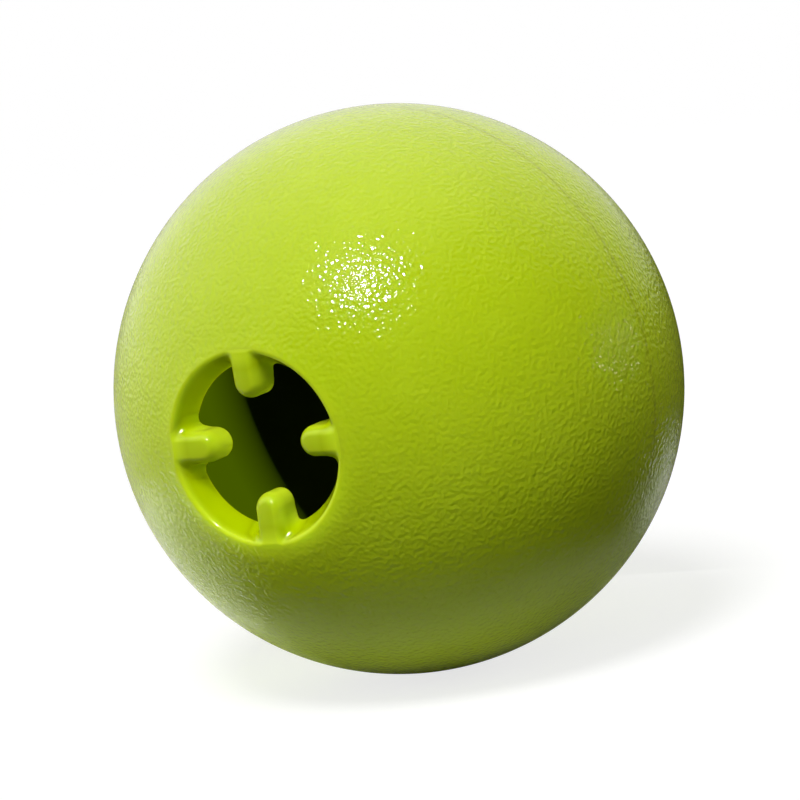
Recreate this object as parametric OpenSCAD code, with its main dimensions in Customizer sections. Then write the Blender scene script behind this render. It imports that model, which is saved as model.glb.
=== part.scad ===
// Treat dispensing ball of moulded rubber.
// Two half shells are bonded on the equator, and the front one has the mouth.
// Four short rubber fingers, moulded into the mouth, hold the treats back and flex at their roots.
// The ball's centre is the origin, the mouth faces -Y, and +Z is up.

/* [Ball] */
// Outside diameter of the ball
ball_d = 101.6; // [76.2:0.1:152.4]
// Thickness of the rubber wall
wall_t = 5; // [4:0.1:7]

/* [Mouth] */
// Clear width of the mouth at its sharp inner edge
mouth_d = 28.4; // [24:0.1:34]
// Draft of the mouth's wall, in degrees
mouth_draft = 27; // [15:1:32]
// Rounding of the lip where the mouth meets the outside
lip_r = 0.9; // [0.5:0.1:1.4]

/* [Fingers] */
// Width of one finger
finger_w = 5.3; // [3.5:0.1:6.5]
// Free gap between the tips of two opposite fingers
tip_gap = 16.2; // [12:0.1:18]
// Depth of a finger's tip below the mouth's inner edge
tip_drop = 1.5; // [0.6:0.1:2.5]
// Depth of a finger's ridge below the ball's outer surface
ridge_drop = 0.8; // [0.4:0.1:1.4]
// Rounding of the nose, from the ridge down to the tip
nose_r = 4.2; // [2:0.1:5]
// Height that the ridge takes off the round crown of a finger
crown_cut = 0.25; // [0.15:0.05:0.6]
// Rounding where a finger's side runs into the mouth's wall
flare_r = 1.5; // [0.8:0.1:2.2]
// Step from that rounding to the mouth's inner edge and to its lip
flare_step = 0.2; // [0.1:0.05:0.4]

/* [Finger roots] */
// Distance of the flexing line outside the mouth's inner edge
flex_set = 1; // [0.6:0.1:1.4]
// Depth of a root's roll below the mouth's inner edge
roll_drop = 0.5; // [0.2:0.1:0.9]
// Clearance round the roll of a finger's root
roll_gap = 0.2; // [0.1:0.05:0.25]
// Clearance beside a finger's root
side_gap = 0.2; // [0.1:0.05:0.4]

/* [Bonded joint] */
// Height of the tongue that the back shell puts into the front shell
tongue_h = 3; // [1.5:0.1:5]
// Thickness of the tongue where it leaves the joint
tongue_t = 2.4; // [1.8:0.1:2.6]
// Room for the adhesive round the tongue
glue_gap = 0.1; // [0.05:0.05:0.2]

/* [Hidden] */
$fn = 128;

// Rubber as the photograph shows it
lime = [0.65, 0.78, 0.08];
lime_shade = [0.56, 0.69, 0.05];

// Overrun of every cut
over = 1;
// Overlap of a rounding with the faces that it runs into
bite = 0.01;
// Depth of the root webs in the mouth's wall
web_bed = 0.9;

// Angles of the fingers round the mouth's axis
right_a = 0;
top_a = 90;
left_a = 180;
bottom_a = 270;
finger_angles = [right_a, top_a, left_a, bottom_a];
// Turn that starts the revolved shells midway between two fingers
start_a = (right_a + top_a) / 2;

// Ball and mouth
ball_r = ball_d / 2;
inner_r = ball_r - wall_t;
mouth_r = mouth_d / 2;
edge_z = sqrt(inner_r * inner_r - mouth_r * mouth_r);
draft_rise = tan(mouth_draft);

// Centre of the lip's rounding: it touches the ball's outside and the mouth's wall
lip_reach = ball_r - lip_r;
lip_base = mouth_r - edge_z * draft_rise + lip_r / cos(mouth_draft);
lip_square = 1 + draft_rise * draft_rise;
lip_root = sqrt(lip_reach * lip_reach * lip_square - lip_base * lip_base);
lip_z = (lip_root - draft_rise * lip_base) / lip_square;
lip_x = lip_base + draft_rise * lip_z;
// Where the rounding leaves the mouth's wall
lip_foot_x = lip_x - lip_r * cos(mouth_draft);
lip_foot_z = lip_z + lip_r * sin(mouth_draft);
// Where the rounding meets the ball's outside
lip_top_x = lip_x * ball_r / lip_reach;
lip_top_z = lip_z * ball_r / lip_reach;

// Finger, in the plane through its middle: x is the distance from the mouth's axis
ridge_r = ball_r - ridge_drop;
tip_x = tip_gap / 2;
tip_z = edge_z - tip_drop;
// Roll of the root: it touches the ridge's arc and the level of its own drop
flex_x = mouth_r + flex_set;
roll_low_z = edge_z - roll_drop;
roll_r = (ridge_r * ridge_r - flex_x * flex_x - roll_low_z * roll_low_z)
         / (2 * (ridge_r + roll_low_z));
flex_z = roll_low_z + roll_r;
// Centre of the nose's rounding: it touches the ridge's arc and the tip's face
nose_x = tip_x + nose_r;
nose_reach = ridge_r - nose_r;
nose_z = sqrt(nose_reach * nose_reach - nose_x * nose_x);
nose_top_x = nose_x * ridge_r / nose_reach;
nose_top_z = nose_z * ridge_r / nose_reach;
// Where the finger's inner face runs into the roll
touch_r = roll_r - bite;
face_x = tip_x - flex_x;
face_z = tip_z - flex_z;
face_l = sqrt(face_x * face_x + face_z * face_z);
face_a = atan2(face_z, face_x) + acos(touch_r / face_l);
touch_x = flex_x + touch_r * cos(face_a);
touch_z = flex_z + touch_r * sin(face_a);
// Where the ridge's arc meets the roll
crest_x = flex_x * ridge_r / (ridge_r - roll_r);
crest_z = flex_z * ridge_r / (ridge_r - roll_r);

// Bonded joint
tongue_r = inner_r + tongue_t;

// Turns a shape drawn along +Z so that it looks out of the mouth
module facing_front() {
    rotate([90, 0, 0])
        children();
}

// Half of the wall's section, above or below the equator
module half_wall_section(side) {
    intersection() {
        difference() {
            circle(r = ball_r);
            circle(r = inner_r);
        }
        translate([0, side > 0 ? 0 : -ball_r])
            square([ball_r, ball_r]);
    }
}

// Section of the space that the mouth takes out of the wall, before its lip is rounded
module mouth_section() {
    polygon([
        [0, edge_z - mouth_r / draft_rise],
        [mouth_r + (ball_r - edge_z) * draft_rise, ball_r],
        [0, ball_r]
    ]);
}

// Corner between the mouth's wall and the outside, cut away to round the lip
module lip_corner() {
    difference() {
        polygon([
            [lip_x, lip_z],
            [lip_foot_x, lip_foot_z],
            [0, ball_r],
            [lip_top_x, ball_r],
            [lip_top_x, lip_top_z]
        ]);
        translate([lip_x, lip_z])
            circle(r = lip_r + bite);
    }
}

module front_section() {
    difference() {
        half_wall_section(1);
        mouth_section();
        lip_corner();
        // Rebate for the back shell's tongue
        square([tongue_r + glue_gap, tongue_h + glue_gap]);
    }
}

module back_section() {
    half_wall_section(-1);
    // Tongue, inside the bonded joint
    difference() {
        translate([0, -over])
            square([tongue_r, tongue_h + over]);
        circle(r = inner_r);
    }
}

// Small webs that round a finger's sides into the mouth's wall, laid along its draft
module root_flare() {
    flare_w = finger_w / 2 + flare_r;
    wall_l = (lip_foot_z - edge_z) / cos(mouth_draft);
    translate([mouth_r, 0, edge_z])
        rotate([0, mouth_draft, 0])
            translate([0, 0, flare_step])
                linear_extrude(wall_l - 2 * flare_step)
                    difference() {
                        translate([-flare_r, -flare_w])
                            square([flare_r + web_bed, 2 * flare_w]);
                        for (side = [-1, 1])
                            translate([-flare_r, side * flare_w])
                                circle(r = flare_r);
                    }
}

// Pocket in the mouth's wall for the roll of a finger's root
module root_pocket() {
    slot_w = finger_w + 2 * side_gap;
    translate([flex_x, 0, flex_z])
        rotate([90, 0, 0])
            cylinder(r = roll_r + roll_gap, h = slot_w, center = true);
    // The finger's way out of the pocket, between the webs
    translate([tip_x, -slot_w / 2, tip_z])
        cube([flex_x - tip_x, slot_w, ball_r - tip_z]);
}

// Outline of a finger seen from its side
module finger_side() {
    difference() {
        intersection() {
            circle(r = ridge_r);
            polygon([
                [tip_x, tip_z],
                [touch_x, touch_z],
                [flex_x, flex_z],
                [crest_x, crest_z],
                [crest_x, ball_r],
                [tip_x, ball_r]
            ]);
        }
        nose_corner();
    }
    translate([flex_x, flex_z])
        circle(r = roll_r);
}

// Corner between the tip's face and the ridge, cut away to round the nose
module nose_corner() {
    difference() {
        polygon([
            [nose_x, nose_z],
            [nose_top_x, nose_top_z],
            [nose_top_x, ball_r],
            [0, ball_r],
            [0, nose_z]
        ]);
        translate([nose_x, nose_z])
            circle(r = nose_r + bite);
    }
}

// Outline of a finger seen from outside, with its full round tip
module finger_plan() {
    round_r = finger_w / 2;
    translate([tip_x + round_r, 0])
        circle(r = round_r);
    translate([tip_x + round_r, -round_r])
        square([flex_x + roll_r - tip_x, finger_w]);
}

// Arched section of a finger, swept round the ball's centre
module finger_arch() {
    round_r = finger_w / 2;
    round_x = ridge_r + crown_cut - round_r;
    rotate_extrude() {
        translate([round_x, 0])
            circle(r = round_r);
        translate([tip_z - finger_w, -round_r])
            square([round_x - tip_z + finger_w, finger_w]);
    }
}

// One finger, for the place on the mouth's right
module finger() {
    intersection() {
        rotate([90, 0, 0])
            intersection() {
                linear_extrude(finger_w, center = true)
                    finger_side();
                finger_arch();
            }
        linear_extrude(ball_r)
            finger_plan();
    }
}

module finger_at(angle) {
    color(lime_shade)
        facing_front()
            rotate([0, 0, angle])
                finger();
}

module front_shell() {
    color(lime)
        facing_front()
            difference() {
                union() {
                    rotate([0, 0, start_a])
                        rotate_extrude()
                            front_section();
                    for (angle = finger_angles)
                        rotate([0, 0, angle])
                            root_flare();
                }
                for (angle = finger_angles)
                    rotate([0, 0, angle])
                        root_pocket();
            }
}

module back_shell() {
    color(lime)
        facing_front()
            rotate([0, 0, start_a])
                rotate_extrude()
                    back_section();
}

module finger_top() {
    finger_at(top_a);
}

module finger_right() {
    finger_at(right_a);
}

module finger_bottom() {
    finger_at(bottom_a);
}

module finger_left() {
    finger_at(left_a);
}

front_shell();
back_shell();
finger_top();
finger_right();
finger_bottom();
finger_left();
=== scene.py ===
import math

import bpy
import numpy as np
from mathutils import Matrix, Vector


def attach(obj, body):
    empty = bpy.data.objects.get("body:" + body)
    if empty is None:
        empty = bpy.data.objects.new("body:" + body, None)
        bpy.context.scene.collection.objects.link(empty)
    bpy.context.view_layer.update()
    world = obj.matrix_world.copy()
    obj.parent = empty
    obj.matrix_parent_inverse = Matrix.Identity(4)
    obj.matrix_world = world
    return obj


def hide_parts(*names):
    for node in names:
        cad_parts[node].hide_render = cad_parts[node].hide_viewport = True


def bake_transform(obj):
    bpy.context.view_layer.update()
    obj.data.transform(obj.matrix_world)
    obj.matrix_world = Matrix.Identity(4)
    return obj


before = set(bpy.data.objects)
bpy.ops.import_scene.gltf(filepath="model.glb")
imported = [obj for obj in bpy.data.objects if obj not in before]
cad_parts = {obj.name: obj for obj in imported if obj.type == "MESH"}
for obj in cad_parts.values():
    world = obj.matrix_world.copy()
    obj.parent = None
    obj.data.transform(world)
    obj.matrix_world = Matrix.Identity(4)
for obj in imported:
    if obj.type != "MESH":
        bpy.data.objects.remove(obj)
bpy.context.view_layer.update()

MM = 0.001
# What is smaller than this counts as zero
TINY = 1e-6

# The ball's sizes, in mm, as in the part's source
BALL_R = 50.8
INNER_R = 45.8
MOUTH_R = 14.2
DRAFT = math.radians(27)
TIP_Z = 42.043
TONGUE_R = 48.2
TONGUE_H = 3.0
GLUE_GAP = 0.1
# The lip's rounding, which is 0.9 in the source. The photograph shows a tighter one
LIP_R = 0.7

# What follows from them: the mouth's inner edge, and the centre of the lip's rounding
EDGE_Z = math.sqrt(INNER_R**2 - MOUTH_R**2)
RISE = math.tan(DRAFT)
LIP_BASE = MOUTH_R - EDGE_Z * RISE + LIP_R / math.cos(DRAFT)
LIP_SQUARE = 1 + RISE**2
LIP_ROOT = math.sqrt((BALL_R - LIP_R) ** 2 * LIP_SQUARE - LIP_BASE**2)
LIP_Z = (LIP_ROOT - RISE * LIP_BASE) / LIP_SQUARE
LIP_X = LIP_BASE + RISE * LIP_Z


# Camera

# The mouth's tilt from the line of sight, its heading in the picture, and its turn round its own axis
MOUTH_TILT, MOUTH_HEADING, MOUTH_TURN = (math.radians(a) for a in (33.1, 202.52, 92.8))
# The lens, in pixels of the photograph: picture width, focal length and shifts
PHOTO_W, FOCAL, SHIFT_X, SHIFT_Y = 800, 3415, 1.0, -11.4
SENSOR_W = 36
# Distance from the ball's centre, in ball radii
CAMERA_AWAY = 12


def mouth_axes():
    """The row's axes as seen by the camera: columns X, Y, Z in right, up, towards the camera."""
    slant = math.sin(MOUTH_TILT)
    out = Vector((slant * math.cos(MOUTH_HEADING), slant * math.sin(MOUTH_HEADING), math.cos(MOUTH_TILT)))
    up = Vector((0, 1, 0))
    v = (up - up.dot(out) * out).normalized()
    u = v.cross(out)
    top = u * math.cos(MOUTH_TURN) + v * math.sin(MOUTH_TURN)
    return Matrix((top.cross(out), -out, top)).transposed()


AXES = mouth_axes()


def from_camera(right, up, back):
    """A direction given in the camera's right, up and back, in the row frame."""
    return (AXES.transposed() @ Vector((right, up, back))).normalized()


def make_camera():
    data = bpy.data.cameras.new("camera")
    cam = bpy.data.objects.new("camera", data)
    bpy.context.scene.collection.objects.link(cam)
    data.sensor_width = SENSOR_W
    data.lens = FOCAL * SENSOR_W / PHOTO_W
    data.shift_x = SHIFT_X / PHOTO_W
    data.shift_y = SHIFT_Y / PHOTO_W
    data.clip_start, data.clip_end = 0.01, 50
    turn = AXES.transposed().to_4x4()
    cam.matrix_world = Matrix.Translation(from_camera(0, 0, 1) * CAMERA_AWAY * BALL_R * MM) @ turn
    bpy.context.scene.camera = cam


make_camera()


# Shells

# Steps round the mouth's axis
ROUND_STEPS = 512


def facing_front(p):
    """Points drawn with the mouth along +Z, in mm, as row points in metres."""
    return np.stack([p[:, 0], -p[:, 2], p[:, 1]], 1) * MM


def arc(cx, cz, r, a0, a1, n):
    """n points of an arc, its first one left out. Angles from +x towards +z, in radians."""
    return [(cx + r * math.cos(a), cz + r * math.sin(a)) for a in np.linspace(a0, a1, n + 1)[1:]]


def line(p, q, n):
    """n points of a straight line, its first one left out."""
    return [(p[0] + (q[0] - p[0]) * t, p[1] + (q[1] - p[1]) * t) for t in np.linspace(0, 1, n + 1)[1:]]


def front_profile():
    """Closed outline of the front shell, from the joint up the outside, round the lip and back inside."""
    # The outside has shorter steps from here to the lip
    near_lip = math.radians(62)
    lip_top = math.atan2(LIP_Z, LIP_X)
    mouth_edge = math.atan2(EDGE_Z, MOUTH_R)
    # The inside ends here, just before the rebate for the tongue
    inside_end = 0.066
    rebate_x, rebate_z = TONGUE_R + GLUE_GAP, TONGUE_H + GLUE_GAP
    pts = [(BALL_R, 0.0)]
    pts += arc(0, 0, BALL_R, 0, near_lip, 90)
    pts += arc(0, 0, BALL_R, near_lip, lip_top, 26)
    pts += arc(LIP_X, LIP_Z, LIP_R, lip_top, math.pi - DRAFT, 24)
    pts += line(pts[-1], (MOUTH_R, EDGE_Z), 14)
    pts += arc(0, 0, INNER_R, mouth_edge, inside_end, 90)
    pts += [(rebate_x, rebate_z), (rebate_x, 0.0)]
    return pts


def back_profile():
    """Closed outline of the back shell, from the joint down the outside to the pole and back inside."""
    pts = [(BALL_R, 0.0)]
    pts += arc(0, 0, BALL_R, 0, -math.pi / 2, 130)
    pts += [(0.0, -INNER_R)] + arc(0, 0, INNER_R, -math.pi / 2, 0.0, 100)
    pts += [(math.sqrt(INNER_R**2 - TONGUE_H**2), TONGUE_H), (TONGUE_R, TONGUE_H), (TONGUE_R, 0.0)]
    return pts


def new_mesh(name, verts, faces):
    mesh = bpy.data.meshes.new(name)
    mesh.from_pydata([tuple(v) for v in verts], [], faces)
    mesh.polygons.foreach_set("use_smooth", [True] * len(mesh.polygons))
    mesh.update()
    obj = bpy.data.objects.new(name, mesh)
    bpy.context.scene.collection.objects.link(obj)
    return obj


def revolve(name, profile, sharp):
    """Closed solid of revolution. Points on the axis become poles. sharp lists the profile's corners."""
    n = ROUND_STEPS
    verts, rings = [], []
    for x, z in profile:
        if x < TINY:
            rings.append([len(verts)])
            verts.append((0.0, 0.0, z))
        else:
            rings.append(list(range(len(verts), len(verts) + n)))
            verts += [(x * math.cos(a), x * math.sin(a), z) for a in np.arange(n) * 2 * math.pi / n]
    faces = []
    for i in range(len(rings)):
        a, b = rings[i], rings[(i + 1) % len(rings)]
        if len(a) == 1 and len(b) == 1:
            continue
        for j in range(n):
            k = (j + 1) % n
            if len(a) == 1:
                faces.append((a[0], b[k], b[j]))
            elif len(b) == 1:
                faces.append((a[j], a[k], b[0]))
            else:
                faces.append((a[j], a[k], b[k], b[j]))
    obj = new_mesh(name, facing_front(np.array(verts)), faces)
    ring_of = {v: i for i in sharp for v in rings[i]}
    for e in obj.data.edges:
        a, b = e.vertices
        if a in ring_of and ring_of.get(b) == ring_of[a]:
            e.use_edge_sharp = True
    return obj


def make_shells(material):
    outline = front_profile()
    rows = range(len(outline))
    edge_row = min(rows, key=lambda i: math.hypot(outline[i][0] - MOUTH_R, outline[i][1] - EDGE_Z))
    front = revolve("front_skin", outline, [0, edge_row, *rows[-3:]])
    outline = back_profile()
    rows = range(len(outline))
    back = revolve("back_skin", outline, [0, *rows[-4:]])
    for obj, node in ((front, "front_shell"), (back, "back_shell")):
        obj.data.materials.append(material)
        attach(obj, "ball")
        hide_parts(node)


# Fingers

# The real fingers differ a little: angle, tip's distance from the axis, half width, and shift to the side
FINGERS = {
    "right": (0, 8.5, 2.65, 0.5),
    "top": (90, 8.3, 2.65, 0.0),
    "left": (180, 7.9, 2.75, -0.35),
    "bottom": (270, 7.9, 2.65, 0.25),
}
# How far the top's rounding goes in from the sides and from the nose, and how far down
SIDE_IN, NOSE_IN, DOWN = 1.45, 1.7, 2.2
# Level of the flat top, and the sphere that ends it outside
TOP_Z, TOP_R = 48.1, 50.7
# The top falls towards the nose, from this distance to the axis on, and towards the sides
FALL_FROM, NOSE_FALL, SIDE_FALL = 14.0, 0.01, 0.03
# Slope of the inner face, which rises from the tip to the root
FACE_SLOPE = 0.15
# Rounding where the top meets the sphere and the inner face
EASE = 0.8
# The finger ends here, inside the wall
ROOT_X = 18.0
# Fillet between finger and wall: at the outside, what it gains, from which depth and over how much
FILLET, FILLET_GAIN, FILLET_FROM, FILLET_OVER = 1.4, 2.2, 0.35, 1.6
# What the skin takes of the wall: half its width, and its depth behind the mouth's cone
SKIN_HALF, SKIN_DEPTH = 6.0, 3.6
# The skin lies this far under the shell's surface
SKIN_GAP = 0.006
# Box round a finger's skin, and the step of its mesh
SKIN_LO, SKIN_HI, SKIN_STEP = (7.3, -6.4, 41.4), (18.4, 6.4, 51.4), 0.16


def smooth_min(a, b, k):
    h = np.maximum(k - np.abs(a - b), 0) / k
    return np.minimum(a, b) - h**3 * k / 6


def smooth_max(a, b, k):
    return -smooth_min(-a, -b, k)


def wall_field(p):
    """Field of the rubber round the mouth, negative inside, then that of the mouth's cone, and the radius."""
    rho = np.hypot(p[:, 0], p[:, 1])
    z = p[:, 2]
    r = np.sqrt(rho**2 + z**2)
    outer = r - BALL_R
    bore = (MOUTH_R + (z - EDGE_Z) * RISE - rho) * math.cos(DRAFT)
    qx, qz = rho - LIP_X, z - LIP_Z
    # Directions from the lip's centre to where its rounding meets the outside and the cone
    reach = math.hypot(LIP_X, LIP_Z)
    out_x, out_z = LIP_X / reach, LIP_Z / reach
    cone_x, cone_z = -math.cos(DRAFT), math.sin(DRAFT)
    past_outer = out_x * qz - out_z * qx > 0
    past_bore = cone_z * qx - cone_x * qz > 0
    lip = np.where(past_outer & past_bore, np.hypot(qx, qz) - LIP_R, np.maximum(outer, bore))
    return np.maximum(lip, INNER_R - r), bore, r


def ellipse_corner(qa, qb, ra, rb):
    """Field of a corner with an elliptical rounding: qa and qb are measured from the ellipse's centre."""
    k = np.hypot(qa / ra, qb / rb)
    slope = np.maximum(np.hypot(qa / ra**2, qb / rb**2), TINY)
    curved = (k - 1) * k / slope
    flat = np.maximum(qa - ra, qb - rb)
    return np.where((qa > 0) & (qb > 0), curved, flat)


def inset(x, y, tip, half, ratio):
    """How far a place is inside a finger's plan, where the nose counts ratio times less than the sides."""
    centre = tip + half
    bend = ratio - 1.0
    reach = centre - x
    side = half - np.abs(y)
    a, b, c = bend**2 - 1, reach * bend + half, reach**2 + y**2 - half**2
    root = np.sqrt(np.maximum(b * b - a * c, 0))
    nose = -c / np.maximum(b + root, TINY)
    return np.where(x < centre + bend * side, np.minimum(nose, side), side)


def finger_field(p, tip, half):
    """Field of one finger on the mouth's +x side, negative inside. Its top falls a little to the nose."""
    x, y, z = p[:, 0], p[:, 1], p[:, 2]
    r = np.sqrt(x**2 + y**2 + z**2)
    fall = NOSE_FALL * np.maximum(FALL_FROM - x, 0) ** 2 + SIDE_FALL * y**2
    level = smooth_max(z - (TOP_Z - fall), r - TOP_R, EASE)
    inside = inset(x, y, tip, half, NOSE_IN / SIDE_IN)
    top = ellipse_corner(SIDE_IN - inside, level + DOWN, SIDE_IN, DOWN)
    bottom = (TIP_Z + (x - tip) * FACE_SLOPE) - z
    return np.maximum(smooth_max(top, bottom, EASE), x - ROOT_X)


def finger_skin_field(p, tip, half, aside):
    """A finger with the rounded root that runs into the wall, and some of the wall's rubber behind it."""
    wall, bore, r = wall_field(p)
    k = FILLET + FILLET_GAIN * np.clip((BALL_R - FILLET_FROM - r) / FILLET_OVER, 0, 1)
    joined = smooth_min(finger_field(p - np.array([0, aside, 0]), tip, half), wall + SKIN_GAP, k)
    joined = np.maximum(joined, r - (BALL_R - SKIN_GAP))
    return np.maximum(joined, np.maximum(np.abs(p[:, 1]) - SKIN_HALF, -bore - SKIN_DEPTH))


def surface_net(field, lo, hi, step):
    """Closed quad mesh of a field's zero surface."""
    lo, hi = np.array(lo, float), np.array(hi, float)
    n = np.ceil((hi - lo) / step).astype(int) + 1
    axes = [lo[i] + np.arange(n[i]) * step for i in range(3)]
    g = np.stack(np.meshgrid(*axes, indexing="ij"), -1).reshape(-1, 3)
    f = field(g).reshape(n)
    s = f < 0
    corners = [(i, j, k) for i in (0, 1) for j in (0, 1) for k in (0, 1)]
    m = n - 1

    def corner(a, c):
        return a[c[0]:c[0] + m[0], c[1]:c[1] + m[1], c[2]:c[2] + m[2]]

    # One point in each cell that the surface passes, in the middle of its crossings with the cell's edges
    count = sum(corner(s, c).astype(int) for c in corners)
    active = (count > 0) & (count < 8)
    total, hits = np.zeros((*m, 3)), np.zeros(m)
    for a in corners:
        for axis in range(3):
            if a[axis]:
                continue
            b = tuple(c + (i == axis) for i, c in enumerate(a))
            fa, fb = corner(f, a), corner(f, b)
            cross = (fa < 0) != (fb < 0)
            t = np.where(cross, fa / np.where(cross, fa - fb, 1), 0)
            for i in range(3):
                total[..., i] += np.where(cross, a[i] + (t if i == axis else 0), 0)
            hits += cross
    index = -np.ones(m, int)
    index[active] = np.arange(active.sum())
    cells = np.argwhere(active)
    verts = lo + (cells + total[active] / hits[active][:, None]) * step

    # One face round each grid edge that the surface crosses
    faces = []
    for axis in range(3):
        u, v = (axis + 1) % 3, (axis + 2) % 3
        a = [slice(None)] * 3
        b = [slice(None)] * 3
        a[axis], b[axis] = slice(0, -1), slice(1, None)
        flip = s[tuple(a)] != s[tuple(b)]
        at = np.argwhere(flip)
        at = at[(at[:, u] > 0) & (at[:, v] > 0) & (at[:, u] < n[u] - 1) & (at[:, v] < n[v] - 1)]
        inside = s[tuple(at.T)]
        quad = []
        for du, dv in ((0, 0), (-1, 0), (-1, -1), (0, -1)):
            c = at.copy()
            c[:, u] += du
            c[:, v] += dv
            quad.append(index[tuple(c.T)])
        quad = np.stack(quad, 1)
        quad[~inside] = quad[~inside][:, ::-1]
        faces.append(quad)
    return verts, np.concatenate(faces)


def settle(field, verts):
    """Moves the points onto the field's zero surface, in a few short moves."""
    rounds, longest, probe, least_slope = 3, 0.08, 1e-4, 0.05
    for _ in range(rounds):
        f = field(verts)
        sides = [(field(verts + d) - field(verts - d)) / (2 * probe) for d in np.eye(3) * probe]
        grad = np.stack(sides, 1)
        size = np.maximum((grad**2).sum(1), least_slope)
        move = -(f / size)[:, None] * grad
        length = np.maximum(np.linalg.norm(move, axis=1), TINY)
        verts = verts + move * np.minimum(1, longest / length)[:, None]
    return verts


def make_fingers(material):
    for name, (angle, tip, half, aside) in FINGERS.items():
        def field(p):
            return finger_skin_field(p, tip, half, aside)

        verts, faces = surface_net(field, SKIN_LO, SKIN_HI, SKIN_STEP)
        x, y, z = settle(field, verts).T
        c, s = math.cos(math.radians(angle)), math.sin(math.radians(angle))
        turned = np.stack([x * c - y * s, x * s + y * c, z], 1)
        obj = new_mesh(f"{name}_finger_skin", facing_front(turned), faces.tolist())
        obj.data.materials.append(material)
        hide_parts(f"finger_{name}")
        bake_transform(obj)


# Materials and light

LIME = (0.56, 0.735, 0.015)
LIME_DEEP = (0.54, 0.712, 0.01)
# Painted shade: the mouth's wall and the fingers' roots are coloured a darker lime, standing in for the shade
# in the mouth
LIME_PAINTED_SHADE = (0.46, 0.61, 0.0)
# Painted shade: the ball's inside is coloured near black. Painted light: on the side of INSIDE_LIT it glows,
# standing in for light that comes through its wall
INSIDE_SHADE = (0.03, 0.035, 0.0)
INSIDE_PAINTED_GLOW = (0.058, 0.1, 0.0)
INSIDE_LIT = (-0.312, -0.939, -0.146)
# Painted light: a glow round the lip, standing in for light that comes through the rubber
LIP_PAINTED_GLOW = (0.75, 1.0, 0.02)
# Clouds of deeper lime, in the texture's scale and detail
CLOUD_SCALE, CLOUD_DETAIL = 45, 2.0
# Leather grain, in the texture's scale, detail and roughness, and its depth in mm
GRAIN_SCALE, GRAIN_DETAIL, GRAIN_ROUGH, GRAIN_DEPTH = 1350, 0.5, 0.4, 0.19
# What the camera sees of the floor: its shade, and the light that it adds
FLOOR_SHADE, FLOOR_GLOW = 0.32, 0.75


class Tree:
    """Small helper that adds nodes to a node tree and links them."""

    def __init__(self, tree):
        self.tree = tree

    def add(self, kind, **settings):
        node = self.tree.nodes.new(kind)
        for key, value in settings.items():
            setattr(node, key, value)
        return node

    def put(self, node, socket, value):
        """Sets a socket to a number, a tuple or another node's output."""
        if isinstance(value, bpy.types.NodeSocket):
            self.tree.links.new(value, node.inputs[socket])
        else:
            node.inputs[socket].default_value = value

    def math(self, operation, a, b, clamp=False):
        node = self.add("ShaderNodeMath", operation=operation, use_clamp=clamp)
        self.put(node, 0, a)
        self.put(node, 1, b)
        return node.outputs[0]

    def vector_math(self, operation, a, b=(0, 0, 0)):
        node = self.add("ShaderNodeVectorMath", operation=operation)
        self.put(node, 0, a)
        self.put(node, 1, b)
        return node

    def vector(self, operation, a, b=(0, 0, 0)):
        return self.vector_math(operation, a, b).outputs["Vector"]

    def dot(self, a, b):
        return self.vector_math("DOT_PRODUCT", a, b).outputs["Value"]

    def length(self, a):
        return self.vector_math("LENGTH", a).outputs["Value"]

    def ramp(self, value, low, high, to_low=0.0, to_high=1.0):
        node = self.add("ShaderNodeMapRange", interpolation_type="SMOOTHSTEP")
        for i, x in enumerate((value, low, high, to_low, to_high)):
            self.put(node, i, x)
        return node.outputs[0]

    def mix(self, factor, a, b):
        """Mixes two colours. The node's colour sockets are inputs 6 and 7 and output 2."""
        node = self.add("ShaderNodeMix", data_type="RGBA")
        self.put(node, "Factor", factor)
        self.put(node, 6, a)
        self.put(node, 7, b)
        return node.outputs[2]

    def noise(self, vector, scale, detail, rough=0.5):
        node = self.add("ShaderNodeTexNoise")
        self.put(node, "Vector", vector)
        self.put(node, "Scale", scale)
        self.put(node, "Detail", detail)
        self.put(node, "Roughness", rough)
        return node.outputs["Fac"]

    def rays(self):
        """Whether a ray comes from the camera, and whether it comes from a reflection or through glass."""
        path = self.add("ShaderNodeLightPath")
        mirror = self.math("MAXIMUM", path.outputs["Is Glossy Ray"], path.outputs["Is Transmission Ray"])
        return path.outputs["Is Camera Ray"], mirror


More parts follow.
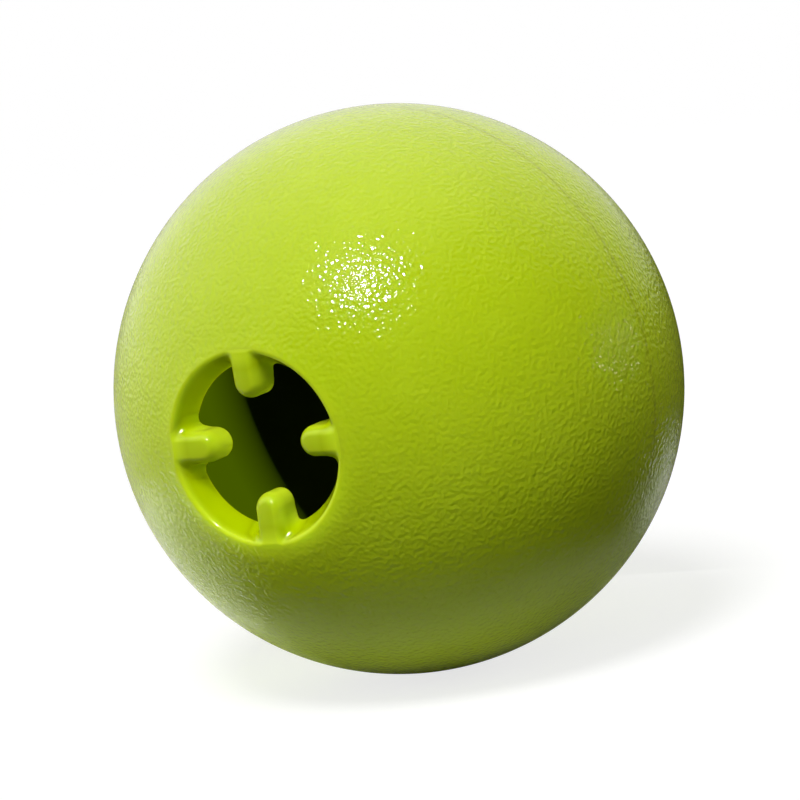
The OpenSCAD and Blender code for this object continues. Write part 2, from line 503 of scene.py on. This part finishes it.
def rubber(name, grained):
    """Glossy lime rubber. The shells' is grained and has painted shade on its inside, the fingers' is smooth.
    """
    mat = bpy.data.materials.new(name)
    mat.use_nodes = True
    t = Tree(mat.node_tree)
    shader = mat.node_tree.nodes["Principled BSDF"]
    at = t.add("ShaderNodeTexCoord").outputs["Object"]
    radius = t.length(at)
    split = t.add("ShaderNodeSeparateXYZ")
    t.put(split, 0, at)
    # Distance from the mouth's axis, made larger behind the mouth
    behind = t.ramp(split.outputs["Y"], -20 * MM, 0.0, 0.0, 30 * MM)
    from_axis = t.math("ADD", t.length(t.vector("MULTIPLY", at, (1, 0, 1))), behind)

    cloud = t.noise(at, CLOUD_SCALE, CLOUD_DETAIL)
    color = t.mix(t.ramp(cloud, 0.35, 0.65), (*LIME, 1), (*LIME_DEEP, 1))
    # Full lime at the ball's outside and on the fingers' free ends, and elsewhere a darker lime that is
    # painted shade
    lime = t.ramp(radius, 49.0 * MM, 50.6 * MM)
    if not grained:
        lime = t.math("MAXIMUM", lime, t.ramp(from_axis, 12.5 * MM, 15 * MM, 1.0, 0.0))
    color = t.mix(lime, (*LIME_PAINTED_SHADE, 1), color)

    # Painted light: the lip glows, most of it below the mouth, standing in for light that comes through the
    # rubber
    below, above = 0.17, 0.05 if grained else 0.12
    glow_by_height = t.ramp(split.outputs["Z"], -16 * MM, 0.0, below, above)
    lip = t.ramp(from_axis, 16 * MM, 21 * MM, 1.0, 0.0)
    lip = t.math("MULTIPLY", lip, t.ramp(radius, 49.8 * MM, 50.7 * MM))
    glow = t.math("MULTIPLY", lip, glow_by_height)
    glow_color = (*LIP_PAINTED_GLOW, 1)

    if grained:
        inside = t.ramp(radius, 45.85 * MM, 45.95 * MM, 1.0, 0.0)
        # Painted shade: the inside is coloured near black
        color = t.mix(inside, color, (*INSIDE_SHADE, 1))
        # Painted light: the inside glows towards INSIDE_LIT, standing in for light through its wall
        lit = t.math("MULTIPLY", t.dot(at, INSIDE_LIT), 1 / (0.2 * INNER_R * MM), clamp=True)
        glow = t.math("ADD", glow, t.math("MULTIPLY", inside, t.math("POWER", lit, 0.55)))
        glow_color = t.mix(inside, glow_color, (*INSIDE_PAINTED_GLOW, 1))
        # The grain ends at the lip
        outside = t.ramp(radius, 50.3 * MM, 50.7 * MM)
        bump = t.add("ShaderNodeBump")
        t.put(bump, "Strength", t.math("MULTIPLY", outside, t.ramp(from_axis, 16.7 * MM, 17.8 * MM)))
        t.put(bump, "Distance", GRAIN_DEPTH * MM)
        t.put(bump, "Height", t.noise(at, GRAIN_SCALE, GRAIN_DETAIL, GRAIN_ROUGH))
        t.put(shader, "Normal", bump.outputs[0])
        t.put(shader, "Coat Normal", bump.outputs[0])
        # Light spreads further in the thin rubber round the mouth
        rim = t.ramp(from_axis, 17 * MM, 23 * MM, 1.0, 0.0)
        t.put(shader, "Subsurface Weight", t.math("ADD", t.math("MULTIPLY", rim, 0.2), 0.6))
        t.put(shader, "Subsurface Scale", t.math("ADD", t.math("MULTIPLY", rim, 1.2 * MM), 2 * MM))
    else:
        shader.inputs["Subsurface Weight"].default_value = 0.8
        shader.inputs["Subsurface Scale"].default_value = 1.6 * MM

    t.put(shader, "Base Color", color)
    t.put(shader, "Emission Color", glow_color)
    t.put(shader, "Emission Strength", glow)
    shader.inputs["Subsurface Radius"].default_value = (1.0, 1.0, 0.2)
    # The gloss is a coat, so that the rubber below it stays soft
    shader.inputs["Specular IOR Level"].default_value = 0.0
    shader.inputs["Coat Weight"].default_value = 1.0
    shader.inputs["Coat IOR"].default_value = 1.45
    shader.inputs["Coat Roughness"].default_value = 0.11
    return mat


def make_world():
    """White for the camera. A reflection sees a pale studio above and behind the ball, and dark in front."""
    world = bpy.data.worlds.new("world")
    bpy.context.scene.world = world
    world.use_nodes = True
    world.node_tree.nodes.clear()
    t = Tree(world.node_tree)
    way = t.add("ShaderNodeTexCoord").outputs["Generated"]
    palest, slope, limit = from_camera(-0.447, 0.745, -0.497), 1.38, 1.25
    pale = t.math("MULTIPLY", t.dot(way, tuple(palest)), slope)
    pale = t.math("MINIMUM", t.math("MAXIMUM", pale, 0.0), limit)
    camera, mirror = t.rays()
    room = t.add("ShaderNodeBackground")
    white = t.add("ShaderNodeBackground")
    t.put(room, "Color", (1, 1, 1, 1))
    t.put(room, "Strength", t.math("MULTIPLY", pale, mirror))
    t.put(white, "Color", (1, 1, 1, 1))
    mix = t.add("ShaderNodeMixShader")
    t.put(mix, 0, camera)
    t.put(mix, 1, room.outputs[0])
    t.put(mix, 2, white.outputs[0])
    t.put(t.add("ShaderNodeOutputWorld"), 0, mix.outputs[0])


def make_floor():
    """Pale paper for the camera. For the ball it is painted with light and shade: the ball is lit by it as if
    it were white only in some places.
    """
    size = 12.0
    z = -BALL_R * MM
    corners = [(-size, -size, z), (size, -size, z), (size, size, z), (-size, size, z)]
    obj = new_mesh("floor", corners, [(0, 1, 2, 3)])
    mat = bpy.data.materials.new("floor_paper")
    mat.use_nodes = True
    mat.node_tree.nodes.clear()
    t = Tree(mat.node_tree)
    at = t.add("ShaderNodeTexCoord").outputs["Object"]
    flat = t.vector("MULTIPLY", at, (1, 1, 0))
    # Painted light: white to the left, less so further out
    left = t.ramp(t.dot(t.vector("NORMALIZE", flat), (-1, 0, 0)), 0.4, 0.95, 0.0, 0.85)
    left = t.math("MULTIPLY", left, t.ramp(t.length(flat), 90 * MM, 210 * MM, 1.0, 0.65))
    # Painted light: grey close to the ball
    close = t.ramp(t.length(flat), 40 * MM, 62 * MM, 0.42, 0.0)
    # Painted light: a white patch behind the ball
    from_patch = t.vector("MULTIPLY", t.vector("SUBTRACT", flat, (36 * MM, 95 * MM, 0)), (1, 0.5, 1))
    patch = t.ramp(t.length(from_patch), 12 * MM, 45 * MM, 0.6, 0.0)
    # Painted shade: dark elsewhere
    dark, limit = 0.02, 0.85
    level = t.math("ADD", t.math("MAXIMUM", left, close), t.math("ADD", patch, dark))
    paper = t.add("ShaderNodeBsdfDiffuse")
    t.put(paper, "Color", t.math("MINIMUM", level, limit))
    seen_paper = t.add("ShaderNodeBsdfDiffuse")
    t.put(seen_paper, "Color", (FLOOR_SHADE, FLOOR_SHADE, FLOOR_SHADE, 1))
    glow = t.add("ShaderNodeEmission")
    t.put(glow, "Strength", FLOOR_GLOW)
    seen = t.add("ShaderNodeAddShader")
    t.put(seen, 0, seen_paper.outputs[0])
    t.put(seen, 1, glow.outputs[0])
    camera, _ = t.rays()
    mix = t.add("ShaderNodeMixShader")
    t.put(mix, 0, camera)
    t.put(mix, 1, paper.outputs[0])
    t.put(mix, 2, seen.outputs[0])
    t.put(t.add("ShaderNodeOutputMaterial"), 0, mix.outputs[0])
    obj.data.materials.append(mat)


def new_lamp(name, kind, power, place, towards):
    """A lamp that stands at place and shines from the direction towards."""
    data = bpy.data.lights.new(name, kind)
    data.energy = power
    obj = bpy.data.objects.new(name, data)
    bpy.context.scene.collection.objects.link(obj)
    obj.location = place
    obj.rotation_mode = "QUATERNION"
    obj.rotation_quaternion = (-towards).to_track_quat("-Z", "Y")
    return obj


def sun_lamp(name, towards, strength, spread, diffuse=True, glossy=True):
    """A far lamp, its spread in degrees. diffuse and glossy say whether it lights and whether it glints."""
    obj = new_lamp(name, "SUN", strength, towards, towards)
    obj.data.angle = math.radians(spread)
    obj.visible_diffuse, obj.visible_glossy = diffuse, glossy


def area_lamp(name, place, size, power, towards=None):
    """A round lamp that looks at the ball, or away from towards. The glossy rubber doesn't show it."""
    obj = new_lamp(name, "AREA", power, place, (towards or place).normalized())
    obj.data.shape = "DISK"
    obj.data.size = size
    obj.visible_glossy = False
    obj.visible_camera = False


def around(azimuth, elevation, distance):
    """A place round the ball. Azimuth 0 is in front of the mouth, and grows to the right."""
    a, e = math.radians(azimuth), math.radians(elevation)
    return Vector((math.sin(a) * math.cos(e), -math.cos(a) * math.cos(e), math.sin(e))) * distance


def make_lamps():
    # The key light is soft, but glints small and bright
    sun_lamp("key_soft", from_camera(-0.265, 0.715, 0.647), 2.2, 18.0, glossy=False)
    sun_lamp("key_glint", from_camera(-0.228, 0.668, 0.708), 2.4, 2.2, diffuse=False)
    sun_lamp("front_fill", from_camera(-0.05, 0.47, 0.88), 1.0, 60.0, glossy=False)
    sun_lamp("right_glint", around(131, 2, 1), 0.06, 3.0, diffuse=False)
    # Pale light from the left, from behind and from below
    area_lamp("left_lamp", around(-80, 0, 0.17) + Vector((0, 0, -0.049)), 0.12, 0.22)
    area_lamp("back_lamp", around(165, 3, 0.8), 0.35, 2.84)
    area_lamp("low_lamp", Vector((-0.01, 0.06, -0.05)), 0.08, 0.012)
    # Light that the mouth's walls throw on each other
    area_lamp("mouth_lamp", Vector((0.003, -0.034, -0.003)), 0.008, 0.00125, Vector((1, 0.8, -1)))


grained_rubber = rubber("grained_rubber", True)
smooth_rubber = rubber("smooth_rubber", False)
make_shells(grained_rubber)
make_fingers(smooth_rubber)
make_world()
make_floor()
make_lamps()

bpy.context.scene.view_settings.view_transform = "Standard"
